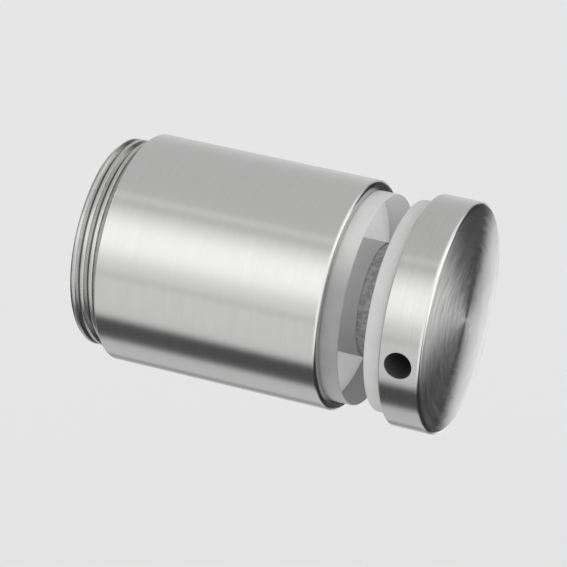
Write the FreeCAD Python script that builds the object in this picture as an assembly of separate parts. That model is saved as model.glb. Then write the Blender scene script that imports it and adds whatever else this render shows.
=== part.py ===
import FreeCAD, Part
import math
import os

# Adjustable glass point fixing, all sizes in millimetres.
# X runs along the axis of the fixing, from the wall at x = 0 to the cap.
# Z is up. The origin is the centre of the base's wall face.

V = FreeCAD.Vector
AXIS = V(1, 0, 0)
ORIGIN = V(0, 0, 0)

# Wall base, a turned cup with a 60 degree outside thread
base_length = 38.0
base_web = 8.0
base_wall = 4.8
base_edge_chamfer = 0.8
wall_bolt_hole_d = 10.5
wall_bolt_head_relief = 1.0
thread_depth = 1.05
thread_crest_rise = 0.16
thread_pitch = 2.0
thread_foot_width = 1.6
thread_crest_width = 0.75
thread_length = 20.0
thread_start = -0.4
thread_sink = 0.2
thread_clearance = 0.12

# Sleeve, screwed over the base
sleeve_d = 50.0
sleeve_length = 50.5
sleeve_offset = 7.0
sleeve_web = 8.0
sleeve_thread_wall = 2.15
sleeve_thread_length = 8.0
sleeve_relief_clearance = 0.5
sleeve_front_edge_radius = 0.8
sleeve_rear_edge_radius = 0.25
sleeve_mouth_chamfer = 0.4
boss_d = 22.0
boss_length = 4.0

# Lock screw, a small grub screw through the underside of the sleeve
lock_screw_d = 4.0
lock_screw_setback = 5.0
lock_screw_socket = 2.0
lock_screw_socket_depth = 1.1
lock_screw_tip_chamfer = 0.4
lock_screw_tip_clearance = 0.08
lock_screw_recess = 0.1

# Gaskets, one seated in the sleeve and one against the cap
gasket_seat_depth = 2.0
gasket_seat_rim = 1.9
gasket_seat_clearance = 0.2
gasket_edge_radius = 0.3
sleeve_gasket_thickness = 6.0
cap_gasket_thickness = 4.0
glass_gap = 5.7

# Bush that lines the hole in the glass
bush_d = 24.4
bush_bore_clearance = 0.2
bush_chamfer = 0.4
bush_end_clearance = 0.15
bush_side_clearance = 0.2

# Stud that draws the cap towards the sleeve
stud_d = 12.0
stud_chamfer = 1.0
stud_in_cap = 5.5
stud_past_web = 12.0
stud_running_clearance = 0.08

# Cap, a turned disc with a shallow dome and a hole for a tommy bar
cap_d = 50.0
cap_side = 9.0
cap_dome_rise = 1.1
cap_edge_radius = 0.8
cap_back_chamfer = 0.3
tommy_hole_d = 6.0
tommy_hole_depth = 10.0
tommy_hole_rise_deg = 6.0
tommy_hole_from_back = 4.3
drill_point_deg = 118.0

# Cutting tools run past what they cut, and threads are made longer than needed and then trimmed
cut_overshoot = 1.0
spare_turns = 1
same_place = 1e-4

# Radii and places along the axis that the sizes above give
sleeve_r = sleeve_d / 2
thread_crest_r = sleeve_r - sleeve_thread_wall
thread_root_r = thread_crest_r - thread_depth
base_cavity_r = thread_root_r - base_wall
gasket_seat_r = sleeve_r - gasket_seat_rim
gasket_r = gasket_seat_r - gasket_seat_clearance
sleeve_end = sleeve_offset + sleeve_length
gasket_seat_x = sleeve_end - gasket_seat_depth
sleeve_cavity_end = gasket_seat_x - sleeve_web
boss_end = sleeve_cavity_end - boss_length
glass_face_x = gasket_seat_x + sleeve_gasket_thickness
cap_gasket_face_x = glass_face_x + glass_gap
cap_back_x = cap_gasket_face_x + cap_gasket_thickness
cap_rim_x = cap_back_x + cap_side
sleeve_thread_end = sleeve_offset + sleeve_thread_length
sleeve_minor_r = thread_root_r + thread_clearance
sleeve_major_r = thread_crest_r + thread_clearance
sleeve_relief_r = thread_crest_r + sleeve_relief_clearance
sleeve_mouth_r = sleeve_relief_r + sleeve_mouth_chamfer
thread_slope = (thread_foot_width - thread_crest_width) / 2 / (thread_depth - thread_crest_rise)
boss_r = boss_d / 2
cap_r = cap_d / 2
bush_r = bush_d / 2
stud_r = stud_d / 2
bush_bore_r = stud_r + bush_bore_clearance
stud_hole_r = stud_r + stud_running_clearance
bush_hole_r = bush_r + bush_side_clearance


def turned(points):
    """Solid of revolution about X from a closed outline of (x, radius) points."""
    corners = [V(x, 0, r) for x, r in points]
    face = Part.Face(Part.makePolygon(corners + corners[:1]))
    return face.revolve(ORIGIN, AXIS, 360)


def cylinder(radius, start, end):
    """Plain cylinder about X between two places on the axis."""
    return Part.makeCylinder(radius, end - start, V(start, 0, 0), AXIS)


def ring_edges(shape, x, radius):
    """The circular edges of a turned shape at one place and radius."""
    found = []
    for edge in shape.Edges:
        if edge.Degenerated or not isinstance(edge.Curve, Part.Circle):
            continue
        centre = edge.Curve.Center
        on_axis = math.hypot(centre.y, centre.z) < same_place
        if on_axis and abs(edge.Curve.Radius - radius) < same_place and abs(centre.x - x) < same_place:
            found.append(edge)
    return found


def radial_cylinder(radius, inner, outer, x, angle_deg):
    """Cylinder along a radius of the part. The angle is counted from -Y towards +Z."""
    angle = math.radians(angle_deg)
    out = V(0, -math.cos(angle), math.sin(angle))
    return Part.makeCylinder(radius, outer - inner, V(x, 0, 0) + out * inner, out)


def hexagon(across_flats, inner, outer, x, angle_deg):
    """Hexagonal prism along a radius of the part, for a socket."""
    angle = math.radians(angle_deg)
    out = V(0, -math.cos(angle), math.sin(angle))
    side = AXIS.cross(out)
    corner_r = across_flats / math.sqrt(3)
    corners = []
    for i in range(7):
        turn = math.radians(60 * i)
        offset = AXIS * (corner_r * math.cos(turn)) + side * (corner_r * math.sin(turn))
        corners.append(V(x, 0, 0) + out * inner + offset)
    return Part.Face(Part.makePolygon(corners)).extrude(out * (outer - inner))


def thread_half_width(radius):
    """Half the width of the base's ridge at a radius."""
    return thread_foot_width / 2 - thread_slope * (radius - thread_root_r)


def thread_sweep(start, turns, foot_r, foot_half, crest_r, crest_half, crest_rise=0):
    """Right-hand helical ridge from its foot to its crest, which is flat or rounded by its rise."""
    helix = Part.makeHelix(thread_pitch, turns * thread_pitch, thread_root_r)
    helix.Placement = FreeCAD.Placement(V(start, 0, 0), FreeCAD.Rotation(V(0, 0, 1), AXIS))
    first = helix.Edges[0].valueAt(helix.Edges[0].FirstParameter)
    out = V(0, first.y, first.z).normalize()
    centre = V(first.x, 0, 0)
    left = centre - AXIS * crest_half + out * crest_r
    right = centre + AXIS * crest_half + out * crest_r
    top = centre + out * (crest_r + crest_rise)
    foot_right = centre + AXIS * foot_half + out * foot_r
    foot_left = centre - AXIS * foot_half + out * foot_r
    crest = Part.Arc(left, top, right) if crest_rise else Part.LineSegment(left, right)
    sides = Part.makePolygon([right, foot_right, foot_left, left])
    profile = Part.Wire([crest.toShape()] + sides.Edges)
    return Part.Wire(helix.Edges).makePipeShell([profile], True, True)


def wall_base():
    """Cup that is bolted to the wall and carries the sleeve on its thread."""
    over_r = thread_crest_r + thread_depth
    trim = turned([
        (0, 0),
        (0, thread_crest_r - base_edge_chamfer),
        (over_r - thread_crest_r + base_edge_chamfer, over_r),
        (thread_length - thread_depth, over_r),
        (thread_length + thread_depth, thread_root_r - thread_depth),
        (thread_length + thread_depth, 0),
    ])
    foot_r = thread_root_r - thread_sink
    ridge = thread_sweep(
        thread_start - spare_turns * thread_pitch,
        math.ceil((thread_length - thread_start) / thread_pitch) + 2 * spare_turns,
        foot_r,
        thread_half_width(foot_r),
        thread_crest_r - thread_crest_rise,
        thread_crest_width / 2,
        thread_crest_rise,
    )
    ridge = ridge.common(trim)
    body = cylinder(thread_root_r, 0, base_length).fuse(ridge)
    body = body.cut(cylinder(base_cavity_r, base_web, base_length + cut_overshoot))
    body = body.cut(cylinder(wall_bolt_hole_d / 2, -cut_overshoot, base_web + cut_overshoot))
    relief_x = base_web - wall_bolt_head_relief
    relief = turned([
        (relief_x, 0),
        (relief_x, wall_bolt_hole_d / 2),
        (base_web, wall_bolt_hole_d / 2 + wall_bolt_head_relief),
        (base_web, 0),
    ])
    return body.cut(relief)


def sleeve_thread():
    """Inside thread of the sleeve, which fills the space between the base's ridges but for a clearance."""
    inner_r = sleeve_minor_r - thread_depth
    outer_r = sleeve_major_r + thread_depth
    trim = turned([
        (sleeve_offset + sleeve_mouth_r - inner_r, inner_r),
        (sleeve_offset + sleeve_mouth_r - outer_r, outer_r),
        (sleeve_thread_end + outer_r - sleeve_minor_r, outer_r),
        (sleeve_thread_end + inner_r - sleeve_minor_r, inner_r),
    ])
    sideways = thread_clearance * math.hypot(1, thread_slope)
    foot_r = sleeve_major_r + thread_sink
    first_turn = math.floor((sleeve_offset - thread_start) / thread_pitch) - spare_turns
    last_turn = math.ceil((sleeve_thread_end - thread_start) / thread_pitch) + spare_turns
    ridge = thread_sweep(
        thread_start + (first_turn + 0.5) * thread_pitch,
        last_turn - first_turn,
        foot_r,
        thread_pitch / 2 - thread_half_width(foot_r) - sideways,
        sleeve_minor_r,
        thread_pitch / 2 - thread_half_width(sleeve_minor_r) - sideways,
    )
    return ridge.common(trim)


def adjusting_sleeve():
    """Sleeve with a front web that takes the stud and a seat for its gasket."""
    body = turned([
        (sleeve_offset, sleeve_mouth_r),
        (sleeve_offset, sleeve_r),
        (sleeve_end, sleeve_r),
        (sleeve_end, gasket_seat_r),
        (gasket_seat_x, gasket_seat_r),
        (gasket_seat_x, stud_hole_r),
        (boss_end, stud_hole_r),
        (boss_end, boss_r),
        (sleeve_cavity_end, boss_r),
        (sleeve_cavity_end, sleeve_relief_r),
        (sleeve_thread_end + sleeve_relief_r - sleeve_minor_r, sleeve_relief_r),
        (sleeve_thread_end + sleeve_major_r - sleeve_minor_r, sleeve_major_r),
        (sleeve_offset + sleeve_mouth_r - sleeve_major_r, sleeve_major_r),
    ])
    body = body.makeFillet(sleeve_rear_edge_radius, ring_edges(body, sleeve_offset, sleeve_r))
    body = body.makeFillet(sleeve_front_edge_radius, ring_edges(body, sleeve_end, sleeve_r))
    body = body.fuse(sleeve_thread())
    x = sleeve_offset + lock_screw_setback
    hole_r = lock_screw_d / 2 + stud_running_clearance
    return body.cut(radial_cylinder(hole_r, sleeve_minor_r - cut_overshoot, sleeve_r + cut_overshoot, x, -90))


def lock_screw():
    """Grub screw that bears on the base's thread and holds the sleeve."""
    x = sleeve_offset + lock_screw_setback
    tip = thread_crest_r + lock_screw_tip_clearance
    head = sleeve_r - lock_screw_recess
    body = radial_cylinder(lock_screw_d / 2, tip, head, x, -90)
    tip_edges = [edge for edge in body.Edges if edge.BoundBox.ZMin > -tip - same_place]
    body = body.makeChamfer(lock_screw_tip_chamfer, tip_edges)
    return body.cut(hexagon(lock_screw_socket, head - lock_screw_socket_depth, head + cut_overshoot, x, -90))


def gasket(back, front):
    """Flat ring with softened outer edges."""
    body = turned([(back, bush_hole_r), (back, gasket_r), (front, gasket_r), (front, bush_hole_r)])
    rims = ring_edges(body, back, gasket_r) + ring_edges(body, front, gasket_r)
    return body.makeFillet(gasket_edge_radius, rims)


def glass_bush():
    """Tube round the stud that keeps the glass off the metal."""
    end = cap_back_x - bush_end_clearance
    return turned([
        (gasket_seat_x, bush_bore_r),
        (gasket_seat_x, bush_r - bush_chamfer),
        (gasket_seat_x + bush_chamfer, bush_r),
        (end - bush_chamfer, bush_r),
        (end, bush_r - bush_chamfer),
        (end, bush_bore_r),
    ])


def clamp_stud():
    """Stud that is fixed in the cap and screws into the sleeve's web."""
    start = boss_end - stud_past_web
    end = cap_back_x + stud_in_cap
    return turned([
        (start, 0),
        (start, stud_r - stud_chamfer),
        (start + stud_chamfer, stud_r),
        (end - stud_chamfer, stud_r),
        (end, stud_r - stud_chamfer),
        (end, 0),
    ])


def cap_disc():
    """Domed end cap with a blind hole for the stud and one for a tommy bar."""
    dome_radius = (cap_r ** 2 + cap_dome_rise ** 2) / (2 * cap_dome_rise)
    half_angle = math.asin(cap_r / dome_radius) / 2
    apex = V(cap_rim_x + cap_dome_rise, 0, 0)
    middle = apex + V(-dome_radius * (1 - math.cos(half_angle)), 0, dome_radius * math.sin(half_angle))
    rim = V(cap_rim_x, 0, cap_r)
    dome = Part.Arc(apex, middle, rim).toShape()
    sides = Part.makePolygon([rim, V(cap_back_x, 0, cap_r), V(cap_back_x, 0, 0), apex])
    body = Part.Face(Part.Wire([dome] + sides.Edges)).revolve(ORIGIN, AXIS, 360)
    body = body.makeFillet(cap_edge_radius, ring_edges(body, cap_rim_x, cap_r))
    body = body.makeChamfer(cap_back_chamfer, ring_edges(body, cap_back_x, cap_r))
    pocket_end = cap_back_x + stud_in_cap + stud_running_clearance
    body = body.cut(cylinder(stud_hole_r, cap_back_x - cut_overshoot, pocket_end))
    return body.cut(tommy_hole())


def tommy_hole():
    """Radial hole with the cone that a drill leaves."""
    x = cap_back_x + tommy_hole_from_back
    floor_r = cap_r - tommy_hole_depth
    bore_r = tommy_hole_d / 2
    point = bore_r / math.tan(math.radians(drill_point_deg / 2))
    angle = math.radians(tommy_hole_rise_deg)
    out = V(0, -math.cos(angle), math.sin(angle))
    bore = radial_cylinder(bore_r, floor_r, cap_r + cut_overshoot, x, tommy_hole_rise_deg)
    cone = Part.makeCone(0, bore_r, point, V(x, 0, 0) + out * (floor_r - point), out)
    return bore.fuse(cone)


PIECES = {
    "wall_base": wall_base,
    "adjusting_sleeve": adjusting_sleeve,
    "lock_screw": lock_screw,
    "sleeve_gasket": lambda: gasket(gasket_seat_x, glass_face_x),
    "glass_bush": glass_bush,
    "cap_gasket": lambda: gasket(cap_gasket_face_x, cap_back_x),
    "clamp_stud": clamp_stud,
    "cap_disc": cap_disc,
}

os.makedirs("parts", exist_ok=True)
for name, make in PIECES.items():
    shape = make()
    solid = shape.Solids[0] if len(shape.Solids) == 1 else shape
    solid.exportStep("parts/" + name + ".step")
    print(name, len(shape.Solids), round(solid.Volume, 1), solid.isValid())
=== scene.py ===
import math

import bmesh
import bpy
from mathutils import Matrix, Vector


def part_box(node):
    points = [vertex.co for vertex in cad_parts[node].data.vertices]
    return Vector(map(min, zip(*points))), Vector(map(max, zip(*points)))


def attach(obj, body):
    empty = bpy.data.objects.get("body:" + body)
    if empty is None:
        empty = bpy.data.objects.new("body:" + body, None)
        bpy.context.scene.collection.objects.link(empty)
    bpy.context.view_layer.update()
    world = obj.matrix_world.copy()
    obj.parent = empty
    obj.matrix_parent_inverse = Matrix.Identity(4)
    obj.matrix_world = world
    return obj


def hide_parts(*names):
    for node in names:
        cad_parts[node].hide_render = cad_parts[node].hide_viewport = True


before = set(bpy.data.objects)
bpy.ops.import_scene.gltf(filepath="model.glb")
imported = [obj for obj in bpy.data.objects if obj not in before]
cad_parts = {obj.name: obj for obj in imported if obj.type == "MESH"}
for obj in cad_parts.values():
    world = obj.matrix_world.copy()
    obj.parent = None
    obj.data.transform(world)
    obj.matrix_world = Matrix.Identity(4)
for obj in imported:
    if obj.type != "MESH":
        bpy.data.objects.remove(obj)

bl_info = {
    "name": "Glass point fixing",
    "version": (1, 0, 0),
    "blender": (4, 5, 0),
    "location": "3D View > Sidebar > Fixing",
    "description": "Dresses a stainless glass point fixing: steel, gaskets, bush, screws and its studio",
    "category": "Object",
}

AXIS = Vector((1, 0, 0))
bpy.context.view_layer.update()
SLEEVE_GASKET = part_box("sleeve_gasket")
CAP_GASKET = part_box("cap_gasket")
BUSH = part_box("glass_bush")
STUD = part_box("clamp_stud")
LOCK_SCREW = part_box("lock_screw")
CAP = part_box("cap_disc")

# Meshes. Lengths are in metres.
SAME_PLACE = 1e-7
SMOOTH_ANGLE = math.radians(35)
SEAT_GAP = 0.00004  # keeps the clear gasket's back off the sleeve's seat
RING_EDGE_STEPS = 3

# Screws. The first four are shares of the pitch: the thread's depth, half its ridge's foot, half the crest,
# and how far the ridge sinks into the core. GRUB_CORE is a share of the thread's depth.
THREAD_DEPTH = 0.54
RIDGE_FOOT = 0.46
RIDGE_CREST = 0.07
RIDGE_SINK = 0.06
RIDGE_STEPS = 32
CORE_SEGMENTS = 48
STUD_CHAMFER = 0.0005
STUD_PLAIN_END = 0.001
GRUB_CORE = 0.6
GRUB_PLAIN_START = 0.0003
GRUB_PLAIN_END = 0.0002
SOCKET_RIM = 0.00012
SOCKET_DEPTH = 0.0012

# Bore and dome of the cap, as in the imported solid.
BORE_FROM_BACK = 0.0043
BORE_RISE = math.radians(6)
BORE_R = 0.003
CAP_R = 0.025
DOME_RADIUS = 0.2846

# Where a mask starts and ends: past the bore's wall, below its mouth, above the axis, about the apex, and
# by how far a face looks along the axis.
BORE_WALL = (2e-5, 6e-5)
BORE_MOUTH = (6e-4, 1.5e-4)
BORE_FOOT = (0.0, 1e-3)
APEX_REACH = (0.0036, 0.0045)
END_FACING = (0.6, 0.8)
GASKET_END_FACING = (0.9, 0.99)

# The part of a noise where most of its values lie.
LINE_RANGE = (0.25, 0.75)
CLOUD_RANGE = (0.3, 0.7)
BUSH_CLOUD_RANGE = (0.35, 0.65)

# Ground steel. A pair holds the level on the sides and on the end faces.
GROUND_STREAK = 2.2
LINE_GAIN = 4.0
LINE_TONE = (0.025, 0.115)
BAND_TONE = (0.06, 0.24)
ROUGHNESS_SPREAD = (0.04, 0.075)
SLEEVE_ROUGHNESS = (0.21, 0.2)
CAP_ROUGHNESS = (0.21, 0.19)
CAP_SHADE = 0.955
CAP_GRAIN = 1.9
LINE_DEPTH = 2.5e-7
# Painted shade: the cap's bore is painted near black.
BORE_PAINTED_SHADE = (0.07, 0.07, 0.071)
BORE_EXTRA_ROUGHNESS = 0.2

# Turned steel of the base. Its colour has painted shade, darkest at the thread's valleys, and is plain again
# further in.
VALLEY_R = 0.0222
CREST_R = 0.02295
VALLEY_PAINTED_SHADE = 0.16
THREAD_INSIDE = (11e-4, 7e-4)
THREAD_TONE = (0.93, 1.05)
THREAD_ROUGHNESS = (0.24, 0.32)
THREAD_LINE_DEPTH = 5e-7
FLANK_LEAN = 0.55  # share of the flanks' lean that their shading keeps

# Rolled steel of the screws.
SCREW_COLOUR = (0.5, 0.5, 0.49)
SCREW_TONE = (0.9, 1.04)
SCREW_ROUGHNESS = (0.26, 0.36)
SCREW_LINE_DEPTH = 4e-7

# Plastic of the gaskets and the bush.
GASKET_TONE = (0.97, 1.02)
GASKET_ROUGHNESS = (0.42, 0.5)
GASKET_SKIN_DEPTH = 1.5e-6
BUSH_TONE = (0.72, 1.12)
BUSH_ROUGHNESS = (0.4, 0.55)
BUSH_SKIN_DEPTH = 6e-6

# Painted light in the clear gasket. The first two paint its outer wall lighter at the top and darker about
# the middle; they hold a start and an end as shares of its radius, and the level at each. The glow is painted
# light, an emission standing in for what its walls and back catch, and it fades from the top down.
TOP_PAINTED_LIGHT = (0.5, 1.0, 0.62, 1.13)
FOOT_PAINTED_LIGHT = (-0.9, 0.1, 0.14, -0.1)
HUB_TO_RIM = (0.6, 0.85)
PAINTED_GLOW_HUB = (0.05, 0.051, 0.05)
PAINTED_GLOW_RIM = (0.13, 0.132, 0.13)
PAINTED_GLOW_FLOOR = (0.15, 0.15, 0.15)
PAINTED_GLOW_FADE = (0.1, 1.9)
SHADOW_SHARE = 0.12

# Studio.
STAGE_FLOOR_Z = -0.16
FLOOR_SIZE = 12
SENSOR_WIDTH = 36
CAMERA_SHIFT = (-0.0012, -0.008)
CAMERA_CLIP = (0.01, 50)


class FixingSizes(bpy.types.PropertyGroup):
    """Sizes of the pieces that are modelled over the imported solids."""

    gasket_hole: bpy.props.FloatProperty(
        name="Gasket hole", description="Diameter of the hole in both gaskets",
        default=0.0248, min=0.02, max=0.04, unit="LENGTH", subtype="DISTANCE")
    gasket_round: bpy.props.FloatProperty(
        name="Gasket edge", description="Radius of the gaskets' outer edges",
        default=0.0003, min=0.0001, max=0.001, unit="LENGTH", subtype="DISTANCE")
    bush_bore: bpy.props.FloatProperty(
        name="Bush bore", description="Diameter of the hole through the bush",
        default=0.0124, min=0.012, max=0.02, unit="LENGTH", subtype="DISTANCE")
    bush_lip: bpy.props.FloatProperty(
        name="Bush lip", description="Width of the soft edge at both ends of the bush",
        default=0.0004, min=0.0001, max=0.001, unit="LENGTH", subtype="DISTANCE")
    stud_pitch: bpy.props.FloatProperty(
        name="Stud pitch", description="Pitch of the M12 thread on the stud",
        default=0.00175, min=0.001, max=0.002, unit="LENGTH", subtype="DISTANCE")
    screw_pitch: bpy.props.FloatProperty(
        name="Lock screw pitch", description="Pitch of the M4 thread on the lock screw",
        default=0.0007, min=0.0005, max=0.001, unit="LENGTH", subtype="DISTANCE")
    socket_width: bpy.props.FloatProperty(
        name="Socket width", description="Width across the flats of the lock screw's socket",
        default=0.002, min=0.0015, max=0.003, unit="LENGTH", subtype="DISTANCE")
    segments: bpy.props.IntProperty(
        name="Segments", description="Facets round a modelled ring", default=192, min=48, max=512)


class FixingFinish(bpy.types.PropertyGroup):
    """Colours and grain of the finishes; the clear gasket's inside colours are painted shade and painted
    light.
    """

    steel: bpy.props.FloatVectorProperty(
        name="Steel", description="Colour of the satin stainless steel",
        default=(0.66, 0.66, 0.655), min=0, max=1, subtype="COLOR")
    thread_steel: bpy.props.FloatVectorProperty(
        name="Thread steel", description="Colour of the turned thread's crests",
        default=(0.6, 0.6, 0.595), min=0, max=1, subtype="COLOR")
    gasket: bpy.props.FloatVectorProperty(
        name="Gasket", description="Colour of the frosted gasket plastic",
        default=(0.6, 0.6, 0.597), min=0, max=1, subtype="COLOR")
    # Painted shade: a darker copy of the gasket colour for its walls seen from inside.
    gasket_inside_painted_shade: bpy.props.FloatVectorProperty(
        name="Gasket inside", description="Colour of the clear gasket's walls from inside",
        default=(0.42, 0.425, 0.42), min=0, max=1, subtype="COLOR")
    # Painted shade: a darker copy of the gasket colour for its hole.
    gasket_hub_painted_shade: bpy.props.FloatVectorProperty(
        name="Gasket hub", description="Colour of the clear gasket's hole, seen through its front",
        default=(0.3, 0.303, 0.3), min=0, max=1, subtype="COLOR")
    # Painted light: a lighter copy of the gasket colour for its back.
    gasket_floor_painted_light: bpy.props.FloatVectorProperty(
        name="Gasket floor", description="Colour of the clear gasket's back, seen through its front",
        default=(0.95, 0.95, 0.95), min=0, max=1, subtype="COLOR")
    bush: bpy.props.FloatVectorProperty(
        name="Bush", description="Colour of the moulded bush",
        default=(0.36, 0.36, 0.36), min=0, max=1, subtype="COLOR")
    clear_face: bpy.props.FloatProperty(
        name="Clear face",
        description="How much of the clear gasket's front face is seen, rather than what lies behind",
        default=0.12, min=0, max=1, subtype="FACTOR")
    grain_pitch: bpy.props.FloatProperty(
        name="Grain pitch", description="Distance between two grinding lines",
        default=0.00025, min=0.00005, max=0.002, unit="LENGTH", subtype="DISTANCE")


class FixingStudio(bpy.types.PropertyGroup):
    """Floor, light and camera round the fixing."""

    floor_colour: bpy.props.FloatVectorProperty(
        name="Floor", description="Colour of the floor",
        default=(0.805, 0.805, 0.805), min=0, max=1, subtype="COLOR")
    backdrop_colour: bpy.props.FloatVectorProperty(
        name="Backdrop", description="Colour that the camera sees past the floor",
        default=(0.783, 0.783, 0.783), min=0, max=1, subtype="COLOR")
    tent_level: bpy.props.FloatProperty(
        name="Tent level", description="Brightness of the white tent round the fixing",
        default=0.72, min=0, max=3)
    camera_target: bpy.props.FloatVectorProperty(
        name="Camera target", description="Point that the camera looks at",
        default=(0.04016, 0, 0), unit="LENGTH", subtype="TRANSLATION")
    camera_azimuth: bpy.props.FloatProperty(
        name="Azimuth", description="Angle of the camera round the fixing",
        default=math.radians(22.64), unit="ROTATION", subtype="ANGLE")
    camera_elevation: bpy.props.FloatProperty(
        name="Elevation", description="Angle of the camera above the horizon",
        default=math.radians(33.05), unit="ROTATION", subtype="ANGLE")
    camera_distance: bpy.props.FloatProperty(
        name="Distance", description="Distance from the camera to its target",
        default=0.6417, min=0.1, unit="LENGTH", subtype="DISTANCE")
    camera_lens: bpy.props.FloatProperty(
        name="Lens", description="Focal length in millimetres on a 36 mm sensor",
        default=190.48, min=10)


# Light panels of the studio. Each has a name, the angle round the fixing's axis that it is centred on,
# counted from the front towards the top, its width and the softness of its edge, all in degrees, its
# brightness, and the part of the axis' direction that it covers, as a start, an end and a softness.
PANELS = (
    ("under light", -100, 60, 20, 0.65, None),
    ("under flag", -119, 11, 12, 0.22, None),
    ("rear flag", -131, 12, 10, 0.4, None),
    ("front plateau", -18, 62, 12, 0.80, None),
    ("front dip", 1, 5, 8, 0.71, None),
    ("top", 128, 100, 60, 0.625, None),
    ("front softbox", 40, 42, 44, 1.34, None),
    ("softbox frame", 74, 3, 7, 0.66, None),
    ("softbox rim", 82, 3, 8, 0.80, None),
    ("back light", 212, 30, 50, 0.72, None),
    ("front flag", -62, 31, 15, 0.095, None),
    ("end fill", 45, 210, 30, 1.25, (0.16, 3.0, 0.12)),
    ("end dark", -118, 156, 24, 0.04, (0.13, 3.0, 0.06)),
    ("end light", 162, 155, 23, 1.7, (0.74, 3.0, 0.15)),
    ("end strip", -146, 8, 14, 1.75, (0.47, 3.0, 0.17)),
    ("ground glow", -144, 18, 26, 1.75, (-0.03, 0.19, 0.04)),
)


# Modelling helpers

def deselect():
    """Leaves edit mode and lets go of every object."""
    if bpy.context.object and bpy.context.object.mode != "OBJECT":
        bpy.ops.object.mode_set(mode="OBJECT")
    bpy.ops.object.select_all(action="DESELECT")


def take(obj):
    """Selects one object alone and makes it the active one."""
    deselect()
    bpy.context.view_layer.objects.active = obj
    obj.select_set(True)


def apply_place():
    """Puts the selected object's place, turn and scale into its mesh."""
    bpy.ops.object.transform_apply(location=True, rotation=True, scale=True)


def start_edit(obj):
    """Opens one object in edit mode with nothing selected."""
    take(obj)
    bpy.ops.object.mode_set(mode="EDIT")
    bpy.ops.mesh.select_mode(type="FACE")
    bpy.ops.mesh.select_all(action="DESELECT")


def pick(obj, kind, test):
    """Selects the faces or edges of the open mesh that pass a test."""
    bpy.ops.mesh.select_mode(type={"faces": "FACE", "edges": "EDGE"}[kind])
    bpy.ops.mesh.select_all(action="DESELECT")
    mesh = bmesh.from_edit_mesh(obj.data)
    for part in getattr(mesh, kind):
        part.select_set(test(part))
    mesh.select_flush_mode()
    bmesh.update_edit_mesh(obj.data)


def round_axis(edge):
    """Whether an edge runs round the axis, and not along it."""
    first, second = edge.verts
    return abs(first.co.x - second.co.x) < SAME_PLACE


def rename(obj, name):
    """Gives an object and its mesh one name."""
    obj.name = name
    obj.data.name = name
    return obj


def finish_mesh(obj, name):
    """Closes edit mode, turns the faces outwards, smooths the round faces and names the piece."""
    bpy.ops.mesh.select_all(action="SELECT")
    bpy.ops.mesh.remove_doubles(threshold=SAME_PLACE)
    bpy.ops.mesh.normals_make_consistent(inside=False)
    bpy.ops.object.mode_set(mode="OBJECT")
    apply_place()
    bpy.ops.object.shade_smooth_by_angle(angle=SMOOTH_ANGLE)
    return rename(obj, name)


def add_bar(radius, start, end, segments):
    """Plain bar about the fixing's axis, the start of every turned piece."""
    deselect()
    bpy.ops.mesh.primitive_cylinder_add(
        vertices=segments, radius=radius, depth=end - start,
        location=((start + end) / 2, 0, 0), rotation=(0, math.pi / 2, 0))
    apply_place()
    return bpy.context.object


def turned_ring(name, box, hole_r, edge, segments):
    """Ring about the axis: a bar whose ends are inset and bridged, then with softened outer edges."""
    low, high = box
    outer_r = high.z
    obj = add_bar(outer_r, low.x, high.x, segments)
    start_edit(obj)
    pick(obj, "faces", lambda face: abs(face.normal.x) > 0.9)
    bpy.ops.mesh.inset(thickness=outer_r - hole_r, use_even_offset=False)
    bpy.ops.mesh.bridge_edge_loops()
    pick(obj, "edges", lambda e: round_axis(e) and all(v.co.yz.length > outer_r - 1e-6 for v in e.verts))
    bpy.ops.mesh.bevel(offset=edge, offset_type="OFFSET", segments=RING_EDGE_STEPS, profile=0.5)
    return finish_mesh(obj, name)


def thread_ridge(radius, depth, pitch, start, end):
    """Helical ridge of a metric thread about the axis, from one profile and a screw modifier."""
    root = radius - depth - RIDGE_SINK * pitch
    deselect()
    bpy.ops.mesh.primitive_plane_add(size=1)
    obj = bpy.context.object
    start_edit(obj)
    mesh = bmesh.from_edit_mesh(obj.data)
    corners = [(-RIDGE_FOOT, root), (RIDGE_FOOT, root), (RIDGE_CREST, radius), (-RIDGE_CREST, radius)]
    order = sorted(mesh.verts, key=lambda v: math.atan2(v.co.y, v.co.x))
    for vert, (along, out) in zip(order, corners):
        vert.co = Vector((start + along * pitch, 0, out))
    bmesh.update_edit_mesh(obj.data)
    bpy.ops.mesh.select_all(action="SELECT")
    bpy.ops.mesh.delete(type="ONLY_FACE")
    bpy.ops.object.mode_set(mode="OBJECT")
    screw = obj.modifiers.new("helix", "SCREW")
    screw.axis = "X"
    screw.angle = -2 * math.pi
    screw.screw_offset = pitch
    screw.iterations = max(1, int((end - start) / pitch))
    screw.steps = RIDGE_STEPS
    screw.render_steps = RIDGE_STEPS
    screw.use_smooth_shade = True
    bpy.ops.object.modifier_apply(modifier=screw.name)
    start_edit(obj)
    pick(obj, "edges", lambda e: e.is_boundary)
    bpy.ops.mesh.edge_face_add()
    bpy.ops.mesh.select_all(action="SELECT")
    bpy.ops.mesh.normals_make_consistent(inside=False)
    bpy.ops.object.mode_set(mode="OBJECT")
    return obj


def joined(name, *parts):
    """One mesh out of several shells."""
    deselect()
    for part in parts:
        part.select_set(True)
    bpy.context.view_layer.objects.active = parts[0]
    bpy.ops.object.join()
    return rename(bpy.context.object, name)


# Node helpers

def feed(tree, socket, value):
    """Fills a socket with a number, a vector or a colour, or links it to another socket."""
    if isinstance(value, (int, float)):
        socket.default_value = value
    elif isinstance(value, (tuple, Vector)):
        socket.default_value = (*value, 1) if socket.type == "RGBA" else value
    else:
        tree.links.new(value, socket)


def fill(tree, made, **values):
    """Feeds a node's inputs by their names, with underscores for spaces."""
    for key, value in values.items():
        feed(tree, made.inputs[key.replace("_", " ")], value)
    return made


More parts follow.
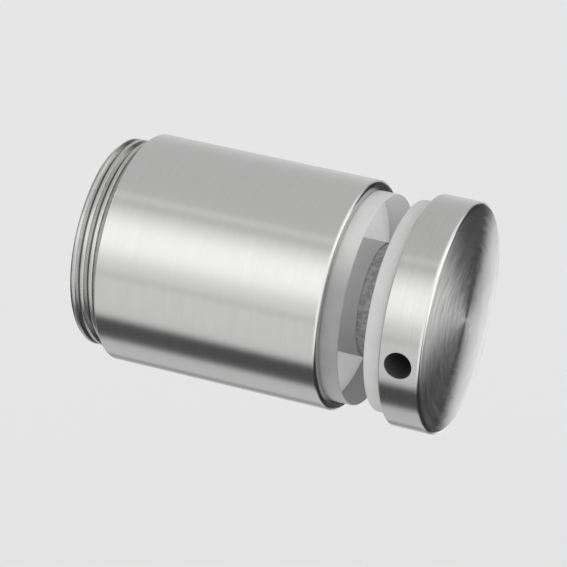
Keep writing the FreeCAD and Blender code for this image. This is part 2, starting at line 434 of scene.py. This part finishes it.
def node(tree, kind, **settings):
    """Adds a node and sets its attributes."""
    made = tree.nodes.new(kind)
    for key, value in settings.items():
        setattr(made, key, value)
    return made


def math_node(tree, operation, *inputs):
    """Adds a Math node whose inputs are numbers or sockets, and gives its result."""
    made = node(tree, "ShaderNodeMath", operation=operation)
    for socket, value in zip(made.inputs, inputs):
        feed(tree, socket, value)
    return made.outputs[0]


def vector_math(tree, operation, *inputs):
    """Adds a Vector Math node whose inputs are vectors or sockets, and gives its vector or its number."""
    made = node(tree, "ShaderNodeVectorMath", operation=operation)
    for socket, value in zip(made.inputs, inputs):
        feed(tree, socket, value)
    return made.outputs["Value" if operation in ("LENGTH", "DISTANCE", "DOT_PRODUCT") else "Vector"]


def scaled(tree, colour, factor):
    """Colour times a factor."""
    made = node(tree, "ShaderNodeVectorMath", operation="SCALE")
    feed(tree, made.inputs[0], colour)
    feed(tree, made.inputs["Scale"], factor)
    return made.outputs[0]


def smooth_step(tree, value, low, high, to_low=0.0, to_high=1.0):
    """Eases a value from one level to another between two places."""
    made = node(tree, "ShaderNodeMapRange", interpolation_type="SMOOTHERSTEP")
    fill(tree, made, Value=value, From_Min=low, From_Max=high, To_Min=to_low, To_Max=to_high)
    return made.outputs["Result"]


def mix_colour(tree, factor, first, second):
    """Mixes two colours or vectors, each a socket or a tuple."""
    made = node(tree, "ShaderNodeMix", data_type="RGBA")
    for socket, value in zip((made.inputs[0], made.inputs[6], made.inputs[7]), (factor, first, second)):
        feed(tree, socket, value)
    return made.outputs[2]


def split_vector(tree, vector):
    """The three parts of a vector."""
    made = node(tree, "ShaderNodeSeparateXYZ")
    tree.links.new(vector, made.inputs[0])
    return made.outputs


def object_place(tree):
    """Place on the piece, in the fixing's own frame."""
    return node(tree, "ShaderNodeTexCoord").outputs["Object"]


def place_about_axis(tree):
    """Distance from the fixing's axis, and the place's three parts."""
    x, y, z = split_vector(tree, object_place(tree))
    flat = fill(tree, node(tree, "ShaderNodeCombineXYZ"), Y=y, Z=z)
    return vector_math(tree, "LENGTH", flat.outputs[0]), x, y, z


def normal_to_world(tree, normal):
    """Turns a normal from the piece's frame to the scene's."""
    made = node(tree, "ShaderNodeVectorTransform", vector_type="NORMAL",
                convert_from="OBJECT", convert_to="WORLD")
    tree.links.new(normal, made.inputs[0])
    return made.outputs[0]


def new_group(name, inputs, outputs):
    """Empty shader group with float inputs, given with their defaults, and float outputs."""
    group = bpy.data.node_groups.new(name, "ShaderNodeTree")
    for label, default in inputs.items():
        socket = group.interface.new_socket(label, in_out="INPUT", socket_type="NodeSocketFloat")
        socket.default_value = default
    for label in outputs:
        group.interface.new_socket(label, in_out="OUTPUT", socket_type="NodeSocketFloat")
    return group, group.nodes.new("NodeGroupInput"), group.nodes.new("NodeGroupOutput")


def place_group(tree, group, **values):
    """Puts a shared group in a material with its own values."""
    return fill(tree, node(tree, "ShaderNodeGroup", node_tree=group), **values)


def grinding_lines():
    """Fine lines round the axis on the sides, and rings on the end faces."""
    name = "Grinding lines"
    if name in bpy.data.node_groups:
        return bpy.data.node_groups[name]
    group, given, out = new_group(name, {"Pitch": 0.00025, "Streak": 6.0}, ["Lines", "Bands", "End face"])
    radius, x, y, z = place_about_axis(group)
    radius = math_node(group, "MAXIMUM", radius, 1e-6)
    facing = split_vector(group, node(group, "ShaderNodeNewGeometry").outputs["Normal"])[0]
    end_face = smooth_step(group, math_node(group, "ABSOLUTE", facing), *END_FACING)
    side_part = math_node(group, "MULTIPLY", x, math_node(group, "SUBTRACT", 1.0, end_face))
    along = math_node(group, "ADD", side_part, math_node(group, "MULTIPLY", radius, end_face))
    across = math_node(group, "DIVIDE", along, given.outputs["Pitch"])
    turn_y, turn_z = (
        math_node(group, "MULTIPLY", math_node(group, "DIVIDE", part, radius), given.outputs["Streak"])
        for part in (y, z))
    for label, slower, detail in (("Lines", 1.0, 4.0), ("Bands", 0.12, 2.0)):
        spot = fill(group, node(group, "ShaderNodeCombineXYZ"),
                    X=math_node(group, "MULTIPLY", across, slower), Y=turn_y, Z=turn_z)
        noise = fill(group, node(group, "ShaderNodeTexNoise"),
                     Vector=spot.outputs[0], Scale=1.0, Detail=detail, Roughness=0.6)
        group.links.new(noise.outputs["Fac"], out.inputs[label])
    group.links.new(end_face, out.inputs["End face"])
    return group


def moulded_mottle():
    """Soft cloudiness of a moulded plastic, and its fine skin."""
    name = "Moulded mottle"
    if name in bpy.data.node_groups:
        return bpy.data.node_groups[name]
    group, given, out = new_group(name, {"Cloud": 600.0, "Skin": 9000.0}, ["Cloudiness", "Skin height"])
    place = object_place(group)
    for label, source, detail in (("Cloudiness", "Cloud", 3.0), ("Skin height", "Skin", 2.0)):
        noise = fill(group, node(group, "ShaderNodeTexNoise"),
                     Vector=place, Scale=given.outputs[source], Detail=detail, Roughness=0.55)
        group.links.new(noise.outputs["Fac"], out.inputs[label])
    return group


# Materials

def new_material(name):
    """Material with only a Principled shader, and its tree and shader."""
    material = bpy.data.materials.new(name)
    material.use_nodes = True
    tree = material.node_tree
    tree.nodes.clear()
    shader = tree.nodes.new("ShaderNodeBsdfPrincipled")
    output = tree.nodes.new("ShaderNodeOutputMaterial")
    tree.links.new(shader.outputs[0], output.inputs["Surface"])
    return material, tree, shader


def bump(tree, height, distance, normal=None):
    """Normal from a height, on the surface's own normal or on a given one."""
    made = fill(tree, node(tree, "ShaderNodeBump"), Height=height, Distance=distance)
    if normal:
        tree.links.new(normal, made.inputs["Normal"])
    return made.outputs["Normal"]


def bore_mask(tree, centre_x, rise, radius, mouth_r):
    """One inside a radial bore and nought outside it."""
    out = Vector((0, -math.cos(rise), math.sin(rise)))
    offset = vector_math(tree, "SUBTRACT", object_place(tree), (centre_x, 0, 0))
    from_middle = vector_math(tree, "LENGTH", vector_math(tree, "CROSS_PRODUCT", offset, out))
    height = vector_math(tree, "DOT_PRODUCT", offset, out)
    near = smooth_step(tree, from_middle, *(radius + past for past in BORE_WALL), 1.0, 0.0)
    below = smooth_step(tree, height, *(mouth_r - depth for depth in BORE_MOUTH), 1.0, 0.0)
    above = smooth_step(tree, height, *BORE_FOOT)
    return math_node(tree, "MULTIPLY", math_node(tree, "MULTIPLY", near, below), above)


def apex_normal(tree, apex_x, dome_radius):
    """Normal of a shallow dome about its apex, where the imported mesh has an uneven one.

    Further out it is the mesh's own.
    """
    place = object_place(tree)
    outwards = vector_math(tree, "SUBTRACT", place, (apex_x - dome_radius, 0, 0))
    dome = vector_math(tree, "NORMALIZE", normal_to_world(tree, outwards))
    from_apex = vector_math(tree, "DISTANCE", place, (apex_x, 0, 0))
    near = smooth_step(tree, from_apex, *APEX_REACH, 1.0, 0.0)
    return mix_colour(tree, near, node(tree, "ShaderNodeNewGeometry").outputs["Normal"], dome)


def ground_steel(name, colour, roughness, pitch, bore=None, dome=None):
    """Satin stainless steel, ground round the axis and turned at its ends.

    Its roughness is a pair, for the sides and the end faces. It may have a dome, and a bore painted dark as
    shade.
    """
    material, tree, shader = new_material(name)
    lines = place_group(tree, grinding_lines(), Pitch=pitch, Streak=GROUND_STREAK)

    def by_face(levels):
        """One level on the sides and another on the end faces."""
        return smooth_step(tree, lines.outputs["End face"], 0.0, 1.0, *levels)

    fine = math_node(tree, "SUBTRACT", lines.outputs["Lines"], 0.5)
    fine = math_node(tree, "MULTIPLY", fine, LINE_GAIN)
    fine = math_node(tree, "MULTIPLY_ADD", fine, by_face(LINE_TONE), 1.0)
    broad = math_node(tree, "SUBTRACT", lines.outputs["Bands"], 0.5)
    broad = math_node(tree, "MULTIPLY_ADD", broad, by_face(BAND_TONE), 1.0)
    base = scaled(tree, colour, math_node(tree, "MULTIPLY", fine, broad))
    uneven = smooth_step(tree, lines.outputs["Lines"], *LINE_RANGE, -0.5, 0.5)
    uneven = math_node(tree, "MULTIPLY", uneven, by_face(ROUGHNESS_SPREAD))
    rough = math_node(tree, "ADD", by_face(roughness), uneven)
    metallic = 1.0
    if bore:
        inside = bore_mask(tree, *bore)
        # Painted shade: inside the bore the colour is near black, and the steel rougher and not metallic.
        base = mix_colour(tree, inside, base, BORE_PAINTED_SHADE)
        rough = math_node(tree, "ADD", rough, math_node(tree, "MULTIPLY", inside, BORE_EXTRA_ROUGHNESS))
        metallic = math_node(tree, "SUBTRACT", 1.0, inside)
    normal = apex_normal(tree, *dome) if dome else None
    tangent = node(tree, "ShaderNodeTangent", direction_type="RADIAL", axis="X")
    fill(tree, shader, Base_Color=base, Roughness=rough, Metallic=metallic,
         Anisotropic=0.9, Anisotropic_Rotation=0.25, Tangent=tangent.outputs[0],
         Normal=bump(tree, lines.outputs["Lines"], LINE_DEPTH, normal))
    return material


def thread_steel(name, colour):
    """Turned steel with painted shade in the valleys between the thread's bright crests."""
    material, tree, shader = new_material(name)
    lines = place_group(tree, grinding_lines(), Pitch=0.0002, Streak=9.0)
    radius = place_about_axis(tree)[0]
    # Painted shade: the colour darkens towards the thread's valleys.
    crest = smooth_step(tree, radius, VALLEY_R, CREST_R, VALLEY_PAINTED_SHADE, 1.0)
    plain = smooth_step(tree, radius, *(VALLEY_R - depth for depth in THREAD_INSIDE), 1.0, 0.0)
    plain = math_node(tree, "MAXIMUM", plain, lines.outputs["End face"])
    crest = math_node(tree, "MAXIMUM", crest, plain)
    tone = smooth_step(tree, lines.outputs["Lines"], *LINE_RANGE, *THREAD_TONE)
    rough = smooth_step(tree, lines.outputs["Lines"], *LINE_RANGE, *THREAD_ROUGHNESS)
    surface = node(tree, "ShaderNodeTexCoord").outputs["Normal"]
    leaned = normal_to_world(tree, vector_math(tree, "MULTIPLY", surface, (FLANK_LEAN, 1, 1)))
    fill(tree, shader, Base_Color=scaled(tree, colour, math_node(tree, "MULTIPLY", crest, tone)),
         Roughness=rough, Metallic=1.0,
         Normal=bump(tree, lines.outputs["Lines"], THREAD_LINE_DEPTH, leaned))
    return material


def machined_screw_steel(name, colour):
    """Rolled screw thread in a darker stainless steel."""
    material, tree, shader = new_material(name)
    lines = place_group(tree, grinding_lines(), Pitch=0.0003, Streak=4.0)
    tone = smooth_step(tree, lines.outputs["Lines"], *LINE_RANGE, *SCREW_TONE)
    rough = smooth_step(tree, lines.outputs["Bands"], *CLOUD_RANGE, *SCREW_ROUGHNESS)
    fill(tree, shader, Base_Color=scaled(tree, colour, tone), Roughness=rough, Metallic=1.0,
         Normal=bump(tree, lines.outputs["Lines"], SCREW_LINE_DEPTH))
    return material


def gasket_skin(tree, shader):
    """Gives a gasket's shader its sheen and its skin, and gives back how its colour varies."""
    mottle = place_group(tree, moulded_mottle(), Cloud=260.0, Skin=5200.0)
    rough = smooth_step(tree, mottle.outputs["Cloudiness"], *CLOUD_RANGE, *GASKET_ROUGHNESS)
    fill(tree, shader, Roughness=rough, IOR=1.45, Specular_IOR_Level=0.35,
         Normal=bump(tree, mottle.outputs["Skin height"], GASKET_SKIN_DEPTH))
    return smooth_step(tree, mottle.outputs["Cloudiness"], *CLOUD_RANGE, *GASKET_TONE)


def frosted_plastic(name, colour):
    """Frosted gasket plastic."""
    material, tree, shader = new_material(name)
    fill(tree, shader, Base_Color=scaled(tree, colour, gasket_skin(tree, shader)))
    return material


def clear_plastic(name, finish, box):
    """Clear gasket plastic with frosted walls. Its polished front is seen through.

    Behind it the walls and the hole are seen from inside in painted shade, and the back in painted light; all
    three carry a painted glow, and the outer wall is painted lighter at the top.
    """
    low, high = box
    material, tree, shader = new_material(name)
    tone = gasket_skin(tree, shader)
    radius, x, _, z = place_about_axis(tree)
    geometry = node(tree, "ShaderNodeNewGeometry")
    from_inside = geometry.outputs["Backfacing"]
    facing = split_vector(tree, geometry.outputs["Normal"])[0]
    end_face = smooth_step(tree, math_node(tree, "ABSOLUTE", facing), *GASKET_END_FACING)
    near_front = smooth_step(tree, x, (low.x + high.x) / 2, high.x)
    front = math_node(tree, "MULTIPLY", end_face, near_front)

    def by_height(start, end, *levels):
        """Level that changes with the height, between two shares of the radius."""
        return smooth_step(tree, z, start * high.z, end * high.z, *levels)

    # Painted light and shade: the outer wall is painted lighter at the top and darker about the middle.
    painted_light = math_node(tree, "ADD", by_height(*TOP_PAINTED_LIGHT), by_height(*FOOT_PAINTED_LIGHT))
    outer = scaled(tree, tuple(finish.gasket), math_node(tree, "MULTIPLY", tone, painted_light))
    rim = smooth_step(tree, radius, *(share * high.z for share in HUB_TO_RIM))
    # Painted shade on the inside walls and hole, and painted light on the back.
    walls = mix_colour(tree, rim, tuple(finish.gasket_hub_painted_shade), tuple(finish.gasket_inside_painted_shade))
    inside_painted_light_and_shade = mix_colour(tree, end_face, walls, tuple(finish.gasket_floor_painted_light))
    # Painted light: the inside glows though it is no lamp, least at the hub, and on the walls and hole it
    # fades from the top down.
    glow = mix_colour(tree, end_face, mix_colour(tree, rim, PAINTED_GLOW_HUB, PAINTED_GLOW_RIM), PAINTED_GLOW_FLOOR)
    fade = smooth_step(tree, z, low.z, high.z, *PAINTED_GLOW_FADE)
    evened = math_node(tree, "MULTIPLY", math_node(tree, "SUBTRACT", 1.0, fade), end_face)
    glow = scaled(tree, glow, math_node(tree, "ADD", fade, evened))
    alpha = smooth_step(tree, front, 0.0, 1.0, 1.0, finish.clear_face)
    shadow_ray = node(tree, "ShaderNodeLightPath").outputs["Is Shadow Ray"]
    lets_light = smooth_step(tree, shadow_ray, 0.0, 1.0, 1.0, SHADOW_SHARE)
    # The base colour carries the painted light and shade, and the emission the painted glow.
    fill(tree, shader, Base_Color=mix_colour(tree, from_inside, outer, inside_painted_light_and_shade),
         Emission_Color=mix_colour(tree, from_inside, (0.0, 0.0, 0.0), glow), Emission_Strength=1.0,
         Alpha=math_node(tree, "MULTIPLY", alpha, lets_light))
    return material


def moulded_bush(name, colour):
    """Grey bush plastic with a mottled skin."""
    material, tree, shader = new_material(name)
    mottle = place_group(tree, moulded_mottle(), Cloud=1100.0, Skin=4200.0)
    tone = smooth_step(tree, mottle.outputs["Cloudiness"], *BUSH_CLOUD_RANGE, *BUSH_TONE)
    rough = smooth_step(tree, mottle.outputs["Skin height"], *CLOUD_RANGE, *BUSH_ROUGHNESS)
    fill(tree, shader, Base_Color=scaled(tree, colour, tone), Roughness=rough,
         Normal=bump(tree, mottle.outputs["Skin height"], BUSH_SKIN_DEPTH))
    return material


def dress(piece, material):
    """Gives a piece its one material."""
    piece.data.materials.clear()
    piece.data.materials.append(material)
    for polygon in piece.data.polygons:
        polygon.material_index = 0


# Operators

class FIXING_OT_steel(bpy.types.Operator):
    """Finish the base, the sleeve and the cap in turned and ground steel"""

    bl_idname = "fixing.steel"
    bl_label = "Finish the steel"

    def execute(self, context):
        finish = context.scene.fixing_finish
        colour = tuple(finish.steel)
        dress(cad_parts["adjusting_sleeve"],
              ground_steel("ground_sleeve_steel", colour, SLEEVE_ROUGHNESS, finish.grain_pitch))
        low, high = CAP
        bore = (low.x + BORE_FROM_BACK, BORE_RISE, BORE_R, CAP_R)
        dress(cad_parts["cap_disc"],
              ground_steel("ground_cap_steel", tuple(CAP_SHADE * part for part in colour), CAP_ROUGHNESS,
                           CAP_GRAIN * finish.grain_pitch, bore=bore, dome=(high.x, DOME_RADIUS)))
        dress(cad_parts["wall_base"],
              thread_steel("turned_thread_steel", tuple(finish.thread_steel)))
        return {"FINISHED"}


class FIXING_OT_gaskets(bpy.types.Operator):
    """Model the clear gasket in the sleeve and the frosted gasket against the cap"""

    bl_idname = "fixing.gaskets"
    bl_label = "Model the gaskets"

    def execute(self, context):
        sizes = context.scene.fixing_sizes
        finish = context.scene.fixing_finish
        low, high = SLEEVE_GASKET
        clear = turned_ring("sleeve_gasket_ring", (low + SEAT_GAP * AXIS, high), sizes.gasket_hole / 2,
                            sizes.gasket_round, sizes.segments)
        dress(clear, clear_plastic("clear_gasket_plastic", finish, SLEEVE_GASKET))
        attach(clear, "glass_seat")
        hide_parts("sleeve_gasket")
        frosted = turned_ring("cap_gasket_ring", CAP_GASKET, sizes.gasket_hole / 2,
                              sizes.gasket_round, sizes.segments)
        dress(frosted, frosted_plastic("frosted_gasket_plastic", tuple(finish.gasket)))
        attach(frosted, "cap_seat")
        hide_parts("cap_gasket")
        return {"FINISHED"}


class FIXING_OT_bush(bpy.types.Operator):
    """Model the bush that lines the hole in the glass"""

    bl_idname = "fixing.bush"
    bl_label = "Model the bush"

    def execute(self, context):
        sizes = context.scene.fixing_sizes
        bush = turned_ring("glass_bush_tube", BUSH, sizes.bush_bore / 2, sizes.bush_lip, sizes.segments)
        dress(bush, moulded_bush("moulded_bush_plastic", tuple(context.scene.fixing_finish.bush)))
        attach(bush, "glass_seat")
        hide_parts("glass_bush")
        return {"FINISHED"}


class FIXING_OT_screws(bpy.types.Operator):
    """Model the threaded stud and the lock screw with its socket"""

    bl_idname = "fixing.screws"
    bl_label = "Model the screws"

    def execute(self, context):
        sizes = context.scene.fixing_sizes
        steel = machined_screw_steel("screw_steel_rolled", SCREW_COLOUR)
        self.stud(sizes, steel)
        self.lock_screw(sizes, steel)
        return {"FINISHED"}

    def stud(self, sizes, steel):
        """Clamp stud with its thread."""
        low, high = STUD
        depth = THREAD_DEPTH * sizes.stud_pitch
        core = add_bar(high.z - depth, low.x, high.x, CORE_SEGMENTS)
        start_edit(core)
        pick(core, "edges", round_axis)
        bpy.ops.mesh.bevel(offset=STUD_CHAMFER, segments=1)
        finish_mesh(core, "stud_core")
        ridge = thread_ridge(high.z, depth, sizes.stud_pitch, low.x + STUD_PLAIN_END, high.x - STUD_PLAIN_END)
        stud = joined("clamp_stud_threaded", core, ridge)
        dress(stud, steel)
        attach(stud, "cap")
        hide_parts("clamp_stud")

    def lock_screw(self, sizes, steel):
        """Grub screw, modelled along the axis and then turned down to its hole under the sleeve."""
        low, high = LOCK_SCREW
        length = high.z - low.z
        radius = (high.x - low.x) / 2
        depth = THREAD_DEPTH * sizes.screw_pitch
        core = add_bar(radius - GRUB_CORE * depth, 0, length, CORE_SEGMENTS)
        start_edit(core)
        pick(core, "faces", lambda face: face.normal.x > 0.9)
        bpy.ops.mesh.inset(thickness=SOCKET_RIM)
        finish_mesh(core, "screw_core")
        key = add_bar(sizes.socket_width / math.sqrt(3), length - SOCKET_DEPTH, length + SOCKET_DEPTH, 6)
        take(core)
        cut = core.modifiers.new("socket", "BOOLEAN")
        cut.operation = "DIFFERENCE"
        cut.solver = "EXACT"
        cut.object = key
        bpy.ops.object.modifier_apply(modifier=cut.name)
        bpy.data.objects.remove(key)
        ridge = thread_ridge(radius, depth, sizes.screw_pitch, GRUB_PLAIN_START, length - GRUB_PLAIN_END)
        screw = joined("lock_screw_threaded", core, ridge)
        take(screw)
        screw.rotation_euler = (0, math.pi / 2, 0)
        screw.location = ((low.x + high.x) / 2, 0, high.z)
        apply_place()
        dress(screw, steel)
        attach(screw, "lock_screw")
        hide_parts("lock_screw")


class FIXING_OT_studio(bpy.types.Operator):
    """Set the floor, the light tent and the camera"""

    bl_idname = "fixing.studio"
    bl_label = "Set the studio"

    def execute(self, context):
        studio = context.scene.fixing_studio
        self.floor(studio)
        self.light(context.scene, studio)
        self.camera(context.scene, studio)
        context.scene.view_settings.view_transform = "Standard"
        return {"FINISHED"}

    def floor(self, studio):
        """Plain pale floor below the fixing, which hangs from its wall."""
        deselect()
        bpy.ops.mesh.primitive_plane_add(size=FLOOR_SIZE, location=(0, 0, STAGE_FLOOR_Z))
        floor = bpy.context.object
        floor.name = "studio_floor"
        material, tree, shader = new_material("studio_floor_paint")
        fill(tree, shader, Base_Color=tuple(studio.floor_colour), Roughness=0.9, Specular_IOR_Level=0.0)
        dress(floor, material)
        floor.visible_glossy = False
        floor.visible_shadow = False

    def light(self, scene, studio):
        """White tent with soft panels and black flags that run along the fixing."""
        world = bpy.data.worlds.new("light_tent")
        scene.world = world
        world.use_nodes = True
        tree = world.node_tree
        tree.nodes.clear()
        x, y, z = split_vector(tree, node(tree, "ShaderNodeTexCoord").outputs["Generated"])
        angle = math_node(tree, "ARCTAN2", z, math_node(tree, "MULTIPLY", y, -1.0))
        level = (studio.tent_level,) * 3
        for name, centre, width, soft, brightness, window in PANELS:
            away = math_node(tree, "SUBTRACT", angle, math.radians(centre))
            away = math_node(tree, "ABSOLUTE", math_node(tree, "WRAP", away, math.pi, -math.pi))
            inner = math.radians(max(0, width - soft) / 2)
            mask = smooth_step(tree, away, inner, math.radians((width + soft) / 2), 1.0, 0.0)
            if window:
                start, end, edge = window
                rising = smooth_step(tree, x, start - edge / 2, start + edge / 2)
                falling = smooth_step(tree, x, end - edge / 2, end + edge / 2, 1.0, 0.0)
                mask = math_node(tree, "MULTIPLY", mask, math_node(tree, "MULTIPLY", rising, falling))
            level = mix_colour(tree, mask, level, (brightness,) * 3)
            level.node.label = name
        camera_ray = node(tree, "ShaderNodeLightPath").outputs["Is Camera Ray"]
        seen = mix_colour(tree, camera_ray, level, tuple(studio.backdrop_colour))
        background = fill(tree, node(tree, "ShaderNodeBackground"), Color=seen, Strength=1.0)
        output = node(tree, "ShaderNodeOutputWorld")
        tree.links.new(background.outputs[0], output.inputs["Surface"])

    def camera(self, scene, studio):
        """Camera at the viewing angle of the picture."""
        turn, rise = studio.camera_azimuth, studio.camera_elevation
        back = Vector((math.sin(turn) * math.cos(rise), -math.cos(turn) * math.cos(rise), math.sin(rise)))
        data = bpy.data.cameras.new("studio_camera")
        camera = bpy.data.objects.new("studio_camera", data)
        scene.collection.objects.link(camera)
        camera.location = Vector(studio.camera_target) + back * studio.camera_distance
        camera.rotation_mode = "QUATERNION"
        camera.rotation_quaternion = (-back).to_track_quat("-Z", "Y")
        data.lens = studio.camera_lens
        data.sensor_width = SENSOR_WIDTH
        data.shift_x, data.shift_y = CAMERA_SHIFT
        data.clip_start, data.clip_end = CAMERA_CLIP
        scene.camera = camera


class FIXING_PT_panel(bpy.types.Panel):
    """Lists the fixing's operators and settings"""

    bl_idname = "FIXING_PT_panel"
    bl_label = "Glass point fixing"
    bl_space_type = "VIEW_3D"
    bl_region_type = "UI"
    bl_category = "Fixing"

    def draw(self, context):
        layout = self.layout
        scene = context.scene
        for operator in OPERATORS:
            layout.operator(operator.bl_idname)
        for settings in (scene.fixing_sizes, scene.fixing_finish, scene.fixing_studio):
            box = layout.box()
            for name in settings.__annotations__:
                box.prop(settings, name)


OPERATORS = (FIXING_OT_steel, FIXING_OT_gaskets, FIXING_OT_bush, FIXING_OT_screws, FIXING_OT_studio)
CLASSES = (FixingSizes, FixingFinish, FixingStudio, *OPERATORS, FIXING_PT_panel)


def register():
    for cls in CLASSES:
        bpy.utils.register_class(cls)
    bpy.types.Scene.fixing_sizes = bpy.props.PointerProperty(type=FixingSizes)
    bpy.types.Scene.fixing_finish = bpy.props.PointerProperty(type=FixingFinish)
    bpy.types.Scene.fixing_studio = bpy.props.PointerProperty(type=FixingStudio)


def unregister():
    del bpy.types.Scene.fixing_studio
    del bpy.types.Scene.fixing_finish
    del bpy.types.Scene.fixing_sizes
    for cls in reversed(CLASSES):
        bpy.utils.unregister_class(cls)


def main():
    """Builds the whole picture."""
    register()
    bpy.ops.fixing.steel()
    bpy.ops.fixing.gaskets()
    bpy.ops.fixing.bush()
    bpy.ops.fixing.screws()
    bpy.ops.fixing.studio()
    deselect()


if __name__ == "__main__":
    main()
